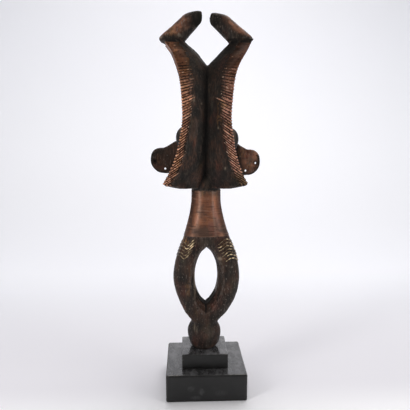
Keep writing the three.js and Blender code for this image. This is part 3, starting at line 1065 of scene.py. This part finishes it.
# Loose gives the heights of lifted strips, long the heights of those that are longer in front and by
# how much, pastEdge how far the ends reach past the face's side, and aged how long their dark ends are
strips = {
    "bottom": 330.5,
    "top": 542,
    "left": {
        "pitch": profile([[330, 4.5], [400, 4.3], [460, 4.2], [510, 4.2], [542, 4.4]]),
        "relief": profile([[330, 1], [430, 1], [470, 0.72], [500, 0.5], [511, 0.12], [542, 0.06]]),
        "loose": [441.8],
        "long": [(449, 3.5), (453.5, 3)],
        "pastEdge": profile([[330, 0], [400, 0.5], [440, 3], [500, 5.5], [520, 4], [542, 0]]),
        "aged": profile([[330, 5], [400, 5], [440, 7], [490, 12], [515, 15], [542, 12]]),
        "seed": 3,
    },
    "right": {
        "pitch": profile([[330, 5], [352, 4.8], [366, 4.4], [450, 4.6], [542, 4.4]]),
        "relief": profile([
            [330, 0.9], [366, 1], [430, 1], [470, 0.72], [498, 0.45], [508, 0.12], [542, 0.04],
        ]),
        "loose": [470],
        "long": [(447, 8)],
        "pastEdge": profile([
            [330, 1], [362, 1.5], [388, 4.5], [420, 4], [440, 4.5], [500, 5.5], [520, 4], [542, 0],
        ]),
        "aged": profile([[330, 5], [400, 5], [440, 8], [490, 13], [515, 25], [542, 26]]),
        "seed": 8,
    },
    # how far a strip rises for each mm back from the rim, and on its way into the face
    "edgeSlope": profile([
        [330, 0.95], [380, 0.95], [410, 0.75], [440, 0.5], [470, 0.3], [500, 0.1], [542, 0.03],
    ]),
    "faceSlope": profile([[330, 0.3], [430, 0.25], [500, 0.12], [542, 0.05]]),
    "thickness": 0.8,
    # how one strip differs from the next: share of its pitch, end and lift in mm
    "pitchVaries": (0.88, 1.12),
    "endVaries": (-2.2, 1.54),
    "liftVaries": (-0.12, 0.15),
    "looseLift": 0.32,
    # the low band down the middle of the face, with its fine ribs
    "bandHalf": 7,
    "bandRise": 0.7,
    "ribRise": 0.12,
    "ribPitch": 4.6,
    "waves": 0.22,
    # place across one strip and how proud it is there
    "section": [
        (0.0, -0.6), (0.13, -0.55), (0.27, -0.2), (0.42, 0.25),
        (0.56, 0.42), (0.7, 0.32), (0.83, -0.05), (0.93, -0.5),
    ],
}


# A point of the head's section, as reach and distance from the middle, and its normal.
# Above zero, place is the distance back from the rim. Below zero it runs to -1 in the middle of the face.
def facePoint(height, place):
    reach, half, hollow, rim, flank = faceSizes(height)
    past = place - head["edge"](height) + head["rim"]
    if past > 0:
        crevice = head["crevice"](height)
        middle = head["back"](height)
        span = reach - head["edge"](height) - middle
        rise = half - crevice
        part = max(1 - past / math.hypot(span, rise * head["roundness"]), 0.1)
        steep = rise * head["roundness"] * part ** (head["roundness"] - 1)
        long = math.hypot(span, steep)
        return middle + span * part, crevice + rise * part ** head["roundness"], -steep / long, span / long
    if place > 0:
        return reach - rim - place, half, 0.0, 1.0
    part = 1 + place
    slope = 2 * hollow * part / flank
    long = math.hypot(1, slope)
    return reach - hollow * (1 - part * part), flank * part, 1 / long, -slope / long


def rimPoint(height, share):  # the same round the rim, from its outer side to its inner one
    reach, _, hollow, rim, flank = faceSizes(height)
    tilt = math.atan(2 * hollow / flank)
    turn = share * (math.pi / 2 + tilt)
    return reach - rim + rim * math.sin(turn), flank + rim * math.cos(turn), math.sin(turn), math.cos(turn)


# Every strip gives one row for each point of its section. A row lists where its points lie.
def stripRows(name):
    shape = strips[name]
    dice = random.Random(shape["seed"])
    inFace = [("face", -part) for part in evenly(0, 1, 24)[1:]]
    onRim = [("rim", share) for share in evenly(0, 1, 5)]
    rows = []
    start = strips["bottom"] - 16
    while start < strips["top"] + 20:
        pitch = shape["pitch"](start) * dice.uniform(*strips["pitchVaries"])
        ends = {sign: dice.uniform(*strips["endVaries"]) for sign in (-1, 1)}
        loose = any(abs(start - height) < pitch / 2 for height in shape["loose"])
        tone = 0.0 if loose else dice.random() * shape["relief"](start)
        lift = strips["looseLift"] if loose else dice.uniform(*strips["liftVaries"])
        wander = dice.uniform(0, 100)
        ends[-1] += sum(extra for height, extra in shape["long"] if abs(start - height) < pitch / 2)
        for across, proud in strips["section"]:
            height = start + across * pitch
            raised = proud * shape["relief"](height) + lift
            row = []
            for sign in (-1, 1):
                long = head["edge"](height) - head["rim"] + shape["pastEdge"](height) + ends[sign]
                places = [("flank", long * part) for part in evenly(1, 0, 9)[:-1]] + onRim + inFace
                if sign > 0:
                    places = places[-2::-1]
                strip = (sign, height, raised, tone, wander, long, shape["aged"](height))
                row += [place + strip for place in places]
            rows.append(row)
        start += pitch
    return rows


def stripPoint(side, entry):
    kind, place, sign, height, raised, tone, wander, long, aged = entry
    toEnd = long - place if kind == "flank" else long
    z = height
    if kind == "flank":
        z += strips["edgeSlope"](height) * place
        out, deep, normalOut, normalDeep = facePoint(z, place)
    elif kind == "rim":
        out, deep, normalOut, normalDeep = rimPoint(z, place)
    else:
        z += strips["faceSlope"](height) * place * head["halfWidth"](height)
        out, deep, normalOut, normalDeep = facePoint(z, place)
    along = place * (0.15 if kind == "flank" else 3)
    raised += strips["waves"] * noise.noise(Vector((along, sign * 3 + wander, height * 0.02)))
    band = ramp(strips["bandHalf"] + 1, strips["bandHalf"], deep) if kind == "face" else 0
    ribs = strips["ribRise"] * math.cos(deep * 2 * math.pi / strips["ribPitch"])
    raised += band * (strips["bandRise"] + ribs - raised)
    out += normalOut * raised
    deep += normalDeep * raised
    x = axis["x"] + head["lean"](z) + side * out
    return (x, axis["y"] + sign * deep, z), (tone, 0.5 + raised, ramp(aged, 1, toEnd), 1)


def buildStrips(name):
    side = sides[name]
    rows = stripRows(name)
    count = len(rows[0])
    corners, colours = [], []
    for row in rows:
        for entry in row:
            point, colour = stripPoint(side, entry)
            corners.append(point)
            colours.append(colour)
    faces = []
    for r in range(len(rows) - 1):
        for i in range(count - 1):
            a = r * count + i
            faces.append((a, a + 1, a + count + 1, a + count))
    piece = newPiece(f"{name}FaceStrips", corners, faces)
    paint(piece, "tone", colours)
    # painted light and shade: each side's brightness by height, multiplied with the tints into the colour
    light = copper[name]["light"]
    tints = list(zip(copper[name]["low"], copper[name]["high"]))
    tintsAndLight = []
    for _, _, z in corners:
        below, above = ramp(*copper["lowest"], z), ramp(*copper["highest"], z)
        tintsAndLight.append([light(z) * (1 + (low - 1) * below + (high - 1) * above) for low, high in tints] + [1])
    paint(piece, "tintAndLight", tintsAndLight)
    for height, lowest in ((strips["bottom"], True), (strips["top"], False)):
        openMesh(piece)
        where = Vector((0, 0, height)) * mm
        bpy.ops.mesh.bisect(plane_co=where, plane_no=(0, 0, 1), clear_inner=lowest, clear_outer=not lowest)
        closeMesh()
    dropLoose(piece, (strips["bottom"] + strips["top"]) / 2 * mm)
    outwards(piece)
    facing = sum(face.normal.x * face.area for face in piece.data.polygons)
    if facing * side < 0:
        piece.data.flip_normals()
    modify(piece, "SOLIDIFY", thickness=strips["thickness"] * mm, offset=-1)
    dress(piece, stripMaterial(name))
    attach(piece, "root")
    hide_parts(f"{name}_face_strips")
    print(f"{name} strips laid:", triangles(piece), "triangles")


copper = {
    "left": {
        "dull": (0.3, 0.125, 0.07),
        "bright": (0.86, 0.42, 0.26),
        "gold": (0.66, 0.3, 0.11),
        # painted light and shade by height
        "light": profile([
            [330, 1], [345, 0.76], [380, 0.95], [430, 1.12], [480, 1.3], [505, 1.45], [542, 1.4],
        ]),
        "low": (1, 1, 1),
        "high": (1, 0.9, 0.76),  # tint of the highest strips
    },
    "right": {
        "dull": (0.27, 0.115, 0.075),
        "bright": (0.82, 0.4, 0.28),
        "gold": (0.6, 0.33, 0.14),
        # painted light and shade by height
        "light": profile([
            [330, 0.72], [350, 0.72], [368, 1.08], [400, 1.06], [430, 0.8], [480, 1.1], [542, 0.9],
        ]),
        "low": (0.55, 0.66, 0.55),  # tint of the lowest strips
        "high": (1.05, 0.92, 0.88),
    },
    "lowest": (358, 342),  # where the lowest strips' tint starts, and where it is full
    "highest": (478, 505),
    "glint": (1, 0.74, 0.58),
    "gap": (0.014, 0.008, 0.006),
    "aged": (0.032, 0.023, 0.019),
    "scratch": (0.05, 0.025, 0.017),
    "fleck": (0.035, 0.017, 0.012),
    "dirt": (0.035, 0.018, 0.012),
    "soot": (0.06, 0.027, 0.016),
    "sooty": (450, 505, 0.66),  # from and to which height the strips darken, and how far
}


def stripMaterial(name):
    shades = copper[name]
    look, tree = newMaterial(f"{name}Copper")
    tone, proud, end = painted(tree, "tone")
    cloud = grain(tree, 60, (1, 1, 1), 3)
    dirt = grain(tree, 150, (1, 1, 1), 4, 0.65)
    flecks = grain(tree, 330, (1, 1, 1), 3, 0.6)
    scratches = grain(tree, 900, (1, 1, 1), 3, 0.6)
    _, _, up = coordinates(tree)
    colour = coat(tree, shades["dull"], shades["bright"], tone, 0, 1, 0.1, 0.9)
    colour = coat(tree, colour, shades["gold"], cloud, 0.5, 0.72, 0, 0.55)
    colour = coat(tree, colour, copper["scratch"], scratches, 0.55, 0.35, 0, 0.4)
    low, high, most = copper["sooty"]
    colour = coat(tree, colour, copper["soot"], up, low * mm, high * mm, 0, most)
    colour = coat(tree, colour, copper["fleck"], flecks, 0.52, 0.36, 0, 0.85)
    aged = times(tree, end, spread(tree, dirt, 0.25, 0.55, 0.5, 1))
    colour = mixColour(tree, aged, colour, copper["aged"])
    shine = times(tree, spread(tree, proud, 0.55, 0.85), spread(tree, flecks, 0.56, 0.68, 0, 0.6))
    colour = mixColour(tree, shine, colour, copper["glint"])
    colour = coat(tree, colour, copper["dirt"], dirt, 0.44, 0.28, 0, 0.7)
    # painted shade where the strips lie low, in the grooves between them
    colour = coat(tree, colour, copper["gap"], proud, 0.59, 0.18, 0, 0.93)
    tintAndLight = tree.nodes.new("ShaderNodeAttribute")
    tintAndLight.attribute_name = "tintAndLight"
    colour = mixColour(tree, 1.0, colour, tintAndLight.outputs["Color"], "MULTIPLY")
    rough = plus(tree, spread(tree, scratches, 0.3, 0.7, 0.28, 0.5), times(tree, end, 0.3))
    normal = bump(tree, flecks, 0.3, 0.6)
    normal = bump(tree, scratches, 0.12, 0.5, normal)
    clean = spread(tree, end, 0.4, 1, 1, 0)
    finish(tree, colour, rough, normal, times(tree, clean, 0.75), times(tree, clean, 0.5))
    return look


# Neck sleeve

def buildSleeve():
    rows, colours, shineShadeAndStains = [], [], []
    for height in evenly(sleeve["bottom"], sleeve["top"], 142):
        cord = sum(math.exp(-(((height - at) / 0.7) ** 2)) for at in sleeve["cords"])
        hem = ramp(sleeve["bottom"] + 2.4, sleeve["bottom"] + 1.2, height)
        hem += ramp(sleeve["top"] - 2, sleeve["top"] - 0.8, height)
        row = []
        for x, y, z in bodyRing(height, 0.0, 120):
            way = Vector((x - axis["x"] - body["lean"](height), y - axis["y"], 0)).normalized()
            dent = uneven(x, y, z, sleeve["dents"])
            worn = ramp(-0.25, 0.3, noise.noise(Vector((x / 9, y / 9, height / 9))))
            faint = cord * worn * (1 if height < 280 else 0.45)
            out = sleeve["clear"] + dent - sleeve["cordDepth"] * faint + sleeve["hemRise"] * hem
            row.append((x + way.x * out, y + way.y * out, z))
            part = (x - axis["x"] - body["lean"](height)) / body["halfWidth"](height)
            # painted shade: the sleeve darkens towards its sides
            flank = ramp(0.62, 0.95, abs(part - 0.05)) * (0.5 + 0.4 * ramp(256, 290, height))
            colours.append((faint, hem, flank, 1))
            shine = [level * math.exp(-(((part - at) / wide) ** 2)) for at, wide, level in sleeve["shine"]]
            # the top of the sleeve, under the heads, for its painted shadow
            high = ramp(sleeve["top"] - 14, sleeve["top"], height)
            shineShadeAndStains.append((sum(shine), high, ramp(sleeve["bottom"] + 25, sleeve["bottom"] + 7, height), 1))
        rows.append(row)
    piece = loft("neckSleeve", rows, capped=False)
    paint(piece, "tone", colours)
    paint(piece, "shineShadeAndStains", shineShadeAndStains)
    modify(piece, "SOLIDIFY", thickness=sleeve["thickness"] * mm, offset=-1)
    dress(piece, sleeveMaterial())
    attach(piece, "root")
    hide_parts("neck_sleeve")
    print("sleeve bent:", triangles(piece), "triangles")


def sleeveMaterial():
    look, tree = newMaterial("sleeveCopper")
    shades = sleeve["shades"]
    cord, hem, flank = painted(tree, "tone")
    shine, high, low = painted(tree, "shineShadeAndStains")
    cloud = grain(tree, 40, (1, 1, 0.6), 3)
    hue = grain(tree, 52, (1, 1, 0.5), 2, 0.5)
    tarnish = grain(tree, 75, (1, 1, 0.8), 4, 0.6)
    wraps = grain(tree, 380, (0.12, 0.12, 1), 3)
    specks = grain(tree, 700, (1, 1, 1), 3, 0.65)
    colour = coat(tree, shades["deep"], shades["bright"], cloud, 0.3, 0.7)
    colour = coat(tree, colour, shades["olive"], hue, 0.44, 0.34, 0, 0.7)
    colour = coat(tree, colour, shades["rose"], hue, 0.56, 0.66, 0, 0.6)
    colour = coat(tree, colour, shades["tarnish"], tarnish, 0.48, 0.64, 0, 0.6)
    # the hems painted lighter: a painted highlight along their raised edges
    colour = mixColour(tree, times(tree, hem, 0.35), colour, shades["hem"])
    # darker towards the top, under the heads: painted shadow with dark stains
    stainedAndShaded = times(tree, high, spread(tree, tarnish, 0.4, 0.55, 0.3, 0.9))
    colour = mixColour(tree, stainedAndShaded, colour, shades["stainAndShadow"])
    # painted highlights in upright streaks
    colour = mixColour(tree, shine, colour, shades["shine"])
    sooty = times(tree, low, spread(tree, tarnish, 0.35, 0.6, 0.2, 0.7))
    colour = mixColour(tree, sooty, colour, shades["soot"])
    # painted shade on the sleeve's sides
    colour = mixColour(tree, times(tree, flank, 0.9), colour, shades["flank"])
    colour = coat(tree, colour, shades["ridge"], wraps, 0.54, 0.72, 0, 0.4)
    colour = coat(tree, colour, shades["line"], wraps, 0.46, 0.3, 0, 0.6)
    colour = coat(tree, colour, shades["speck"], specks, 0.45, 0.3, 0, 0.6)
    colour = mixColour(tree, times(tree, cord, 0.75), colour, shades["cord"])
    rough = plus(tree, spread(tree, specks, 0.3, 0.7, 0.33, 0.5), times(tree, flank, 0.2))
    normal = bump(tree, wraps, 0.2, 0.6)
    normal = bump(tree, specks, 0.1, 0.5, normal)
    covered = mixMaths(tree, "SUBTRACT", 1, flank)
    metal = times(tree, covered, 0.4)
    finish(tree, colour, rough, normal, metal, times(tree, covered, 0.4))
    return look


# Eyes

eye = {
    "reach": {"left": 25.8, "right": 30},
    "offset": 27,
    "height": {"left": 400, "right": 398},
    "out": 18.4,
    "backOut": 0.12,  # share of that at the back
    "across": 16,
    "up": 20.5,
    "squareness": 2.2,
    "tilt": 0.26,
    "shades": {
        "deep": (0.005, 0.004, 0.0037),
        "grey": (0.016, 0.012, 0.01),
        "rubbed": (0.2, 0.13, 0.09),
    },
}


def metalMaterial():
    look, tree = newMaterial("darkMetal")
    shades = eye["shades"]
    rubbed, _, _ = painted(tree, "tone")
    cloud = grain(tree, 90, (1, 1, 1), 4)
    marks = grain(tree, 600, (1, 1, 1), 3, 0.6)
    colour = coat(tree, shades["deep"], shades["grey"], cloud, 0.35, 0.7)
    # the inner side of each dome is lighter: rubbed metal that is also a painted highlight
    bare = times(tree, rubbed, spread(tree, cloud, 0.3, 0.6))
    colour = mixColour(tree, bare, colour, shades["rubbed"])
    normal = bump(tree, marks, 0.08, 0.5)
    finish(tree, colour, spread(tree, marks, 0.3, 0.7, 0.4, 0.6), normal, specular=0.25)
    return look


def buildEye(name, place, front, look):
    side = sides[name]
    bpy.ops.object.select_all(action="DESELECT")
    bpy.ops.mesh.primitive_uv_sphere_add(segments=64, ring_count=40, radius=1)
    piece = bpy.context.object
    piece.name = f"{name}{place.capitalize()}Eye"
    tilt = side * eye["tilt"]
    middle = axis["x"] + head["lean"](eye["height"][name]) + side * eye["reach"][name]
    colours = []
    for vertex in piece.data.vertices:
        x, y, z = [squared(value, eye["squareness"]) for value in vertex.co]
        # lighter towards the face: rubbed metal and a painted highlight
        colours.append((ramp(0.75, 0.2, x * side), 0, 0, 1))
        if x * side < 0:
            x *= eye["backOut"]
        x, y, z = x * eye["out"], y * eye["across"], z * eye["up"]
        turned = x * math.cos(tilt) + z * math.sin(tilt)
        z = z * math.cos(tilt) - x * math.sin(tilt)
        y += axis["y"] + front * eye["offset"]
        vertex.co = Vector((middle + turned, y, eye["height"][name] + z)) * mm
    paint(piece, "tone", colours)
    dress(piece, look)
    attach(piece, "root")
    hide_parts(f"{name}_face_{place}_eye")


# Wires over the shoulders

wires = {
    "radius": 0.9,
    "lift": 0.3,
    "spacing": 5,
    "waver": 1.5,
    "flat": (0.7, 0.85),  # thickness below and above the middle, as a share of the width
    "right": {
        # turn from the side, in radians, and height
        "course": profile([[0, 239.5], [0.5, 244.5], [0.86, 246.5], [1.22, 239.5], [1.3, 239]]),
        # the turns at which each wire ends, behind and in front
        "ends": [
            (-1.2, 1.24), (-1.2, 1.3), (-1.15, 1.28), (-1.22, 1.24),
            (-1.2, 1.2), (-1.1, 1.14), (-1.18, 1.08),
        ],
        # how bright each wire is painted: rubbed metal and painted highlights
        "bright": [0.7, 1.2, 1.2, 0.9, 0.65, 0.6, 0.8],
    },
    "left": {
        "course": profile([[0, 238.5], [0.6, 240.5], [0.86, 237], [1.2, 248.5]]),
        "ends": [(-1.2, 1.16), (-1.22, 1.2), (-1.15, 1.22), (-1.2, 1.1), (-1.1, 1.12)],
        # how bright each wire is painted: rubbed metal and painted highlights
        "bright": [0.6, 0.65, 0.5, 0.4, 0.3],
    },
    "shades": {
        "dull": (0.06, 0.036, 0.022),
        "bright": (1, 0.78, 0.48),
        "side": (0.012, 0.009, 0.007),
    },
}


def wireMaterial():
    look, tree = newMaterial("rubbedAndHighlitBrass")
    shades = wires["shades"]
    top, bright, _ = painted(tree, "tone")
    cloud = grain(tree, 200, (1, 1, 1), 3)
    specks = grain(tree, 800, (1, 1, 1), 3, 0.6)
    worn = grain(tree, 90, (1, 1, 1), 2, 0.5)
    # bright where rubbed, and painted highlights
    rubbed = times(tree, spread(tree, cloud, 0.43, 0.6, 0.06, 1.1), bright)
    rubbed = times(tree, rubbed, spread(tree, worn, 0.38, 0.58, 0.35, 1.15))
    colour = mixColour(tree, rubbed, shades["dull"], shades["bright"])
    # painted shade over all but the outer crest of each wire
    colour = coat(tree, colour, shades["side"], top, 0.85, 0.35)
    normal = bump(tree, specks, 0.08, 0.5)
    finish(tree, colour, spread(tree, specks, 0.3, 0.7, 0.25, 0.45), normal, metallic=0.8)
    return look


def buildWire(name, number, look):
    shape = wires[name]
    drop = number * wires["spacing"]
    back, front = shape["ends"][number]
    line = []
    for turn in evenly(-front, -back, 60):
        up = shape["course"](abs(turn)) - drop
        up += wires["waver"] * noise.noise(Vector((turn * 2.6, number * 3.1, sides[name])))
        square = body["squareness"](up)
        across = (body["halfWidth"](up) + wires["lift"]) * squared(math.cos(turn), square)
        deep = (body["halfDepth"](up) + wires["lift"]) * squared(math.sin(turn), square)
        line.append(Vector((axis["x"] + body["lean"](up) + sides[name] * across, axis["y"] + deep, up)))
    rows, colours = [], []
    for i, point in enumerate(line):
        along = (line[min(i + 1, len(line) - 1)] - line[max(i - 1, 0)]).normalized()
        out = Vector((point.x - axis["x"] - body["lean"](point.z), point.y - axis["y"], 0))
        out.x /= body["halfWidth"](point.z) ** 2
        out.y /= body["halfDepth"](point.z) ** 2
        out = (out - along * out.dot(along)).normalized()
        sideways = along.cross(out)
        end = min(i, len(line) - 1 - i) / 3
        size = wires["radius"] * math.sqrt(min(end, 1) * 0.9 + 0.1)
        row = []
        for k in range(12):
            turn = 2 * math.pi * k / 12
            lift = size * math.sin(turn) * wires["flat"][math.sin(turn) > 0]
            row.append(point + sideways * size * math.cos(turn) + out * lift)
            colours.append((0.5 + 0.5 * math.sin(turn), shape["bright"][number], 0, 1))
        rows.append(row)
    piece = loft(f"{name}Wire{number + 1}", rows)
    paint(piece, "tone", colours)
    dress(piece, look)
    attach(piece, "root")
    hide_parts(f"{name}_shoulder_wire_{number + 1}")


# Plinth

plinth = {
    # dust: how much the block's top is lightened, by dust and by a painted reflection
    "lowerBlock": {"node": "lower_block", "edge": 3, "cuts": 12, "dust": 0.92},
    "upperBlock": {"node": "upper_block", "edge": 1.4, "cuts": 6, "dust": 1.6},
    "uneven": 0.45,
    # scuffs on the front: x and height, half width and half height, strength
    "scuffs": [(-8, 16.5, 3, 5, 0.7), (-17, 7, 7, 3, 0.35), (-24, 22, 5, 4, 0.3), (22, 14, 9, 4, 0.2)],
    "shades": {
        "deep": (0.0045, 0.0045, 0.0048),
        "black": (0.0085, 0.0085, 0.009),
        "fleck": (0.09, 0.09, 0.095),
        "dust": (0.42, 0.42, 0.445),
        "scuff": (0.12, 0.12, 0.125),
        "chip": (0.07, 0.066, 0.062),
    },
}


def paintMaterial():
    look, tree = newMaterial("blackPaint")
    shades = plinth["shades"]
    wear, up, scuffed = painted(tree, "tone")
    cloud = grain(tree, 22, (1, 1, 1), 4)
    streaks = grain(tree, 70, (1, 0.5, 1), 5, 0.6)
    brushed = grain(tree, 160, (0.25, 0.25, 1), 3)
    dust = grain(tree, 520, (1, 1, 1), 4, 0.7)
    colour = coat(tree, shades["deep"], shades["black"], cloud, 0.35, 0.7)
    colour = coat(tree, colour, shades["fleck"], dust, 0.66, 0.8, 0, 0.3)
    # dust on the tops, lightened further as a painted reflection of the bright room
    dustAndSheen = times(tree, up, spread(tree, streaks, 0.36, 0.68, 0.05, 0.26))
    colour = mixColour(tree, dustAndSheen, colour, shades["dust"])
    rubbed = times(tree, scuffed, spread(tree, dust, 0.35, 0.6, 0.1, 0.6))
    colour = mixColour(tree, rubbed, colour, shades["scuff"])
    chipped = times(tree, wear, spread(tree, dust, 0.5, 0.66, 0, 0.6))
    colour = mixColour(tree, chipped, colour, shades["chip"])
    rough = plus(tree, spread(tree, cloud, 0.3, 0.7, 0.1, 0.17), spread(tree, streaks, 0.45, 0.7, 0, 0.1))
    rough = plus(tree, rough, spread(tree, up, 0.2, 0.7, 0.28, 0))
    normal = bump(tree, brushed, 0.05, 0.3)
    normal = bump(tree, dust, 0.02, 0.4, normal)
    finish(tree, colour, rough, normal, specular=spread(tree, up, 0.2, 0.7, 0.4, 0.65))
    return look


def buildBlock(name, look):
    shape = plinth[name]
    low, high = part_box(shape["node"])
    bpy.ops.object.select_all(action="DESELECT")
    bpy.ops.mesh.primitive_cube_add(size=1, location=(low + high) / 2, scale=high - low)
    block = bpy.context.object
    block.name = name
    bpy.ops.object.transform_apply(location=True, scale=True)
    subdivide(block, shape["cuts"])
    modify(block, "BEVEL", width=shape["edge"] * mm, segments=4, limit_method="ANGLE")
    subdivide(block, 2)
    colours = []
    middle = (low + high) / 2
    for vertex in block.data.vertices:
        gaps = sorted(min(vertex.co[k] - low[k], high[k] - vertex.co[k]) for k in range(3))
        nearEdge = ramp(4 * mm, 0.3 * mm, gaps[1])
        top = ramp(0.6 * mm, 0.1 * mm, high.z - vertex.co.z)
        x, y, z = vertex.co / mm
        rubs = [
            level * ramp(1.4, 0.6, math.hypot((x - atX) / wide, (z - atUp) / tall))
            for atX, atUp, wide, tall, level in plinth["scuffs"]
        ]
        scuffed = max(rubs) if y < low.y / mm + 3 else 0
        colours.append((ramp(2.5 * mm, 0.4 * mm, gaps[1]), top * shape["dust"], scuffed, 1))
        wear = 0.5 + 0.5 * noise.noise(Vector((x / 5, y / 5, z / 5)))
        slow = plinth["uneven"] * noise.noise(Vector((x / 30, y / 30, z / 30 + 7)))
        if vertex.co.z > low.z + 1 * mm:
            pull = max(slow, 0) * 0.6 + nearEdge * wear * plinth["uneven"]
            vertex.co -= (vertex.co - middle).normalized() * pull * mm
    paint(block, "tone", colours)
    dress(block, look)
    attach(block, "root")
    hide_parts(shape["node"])


placeCamera()
buildStudio()
buildFigure()
for sideName in sides:
    buildStrips(sideName)
buildSleeve()
eyeMetal = metalMaterial()
for sideName in sides:
    buildEye(sideName, "front", -1, eyeMetal)
    buildEye(sideName, "back", 1, eyeMetal)
brass = wireMaterial()
for sideName in sides:
    for wireNumber in range(len(wires[sideName]["ends"])):
        buildWire(sideName, wireNumber, brass)
print("eyes and wires placed")
satinBlack = paintMaterial()
for blockName in ("lowerBlock", "upperBlock"):
    buildBlock(blockName, satinBlack)
print("plinth placed")
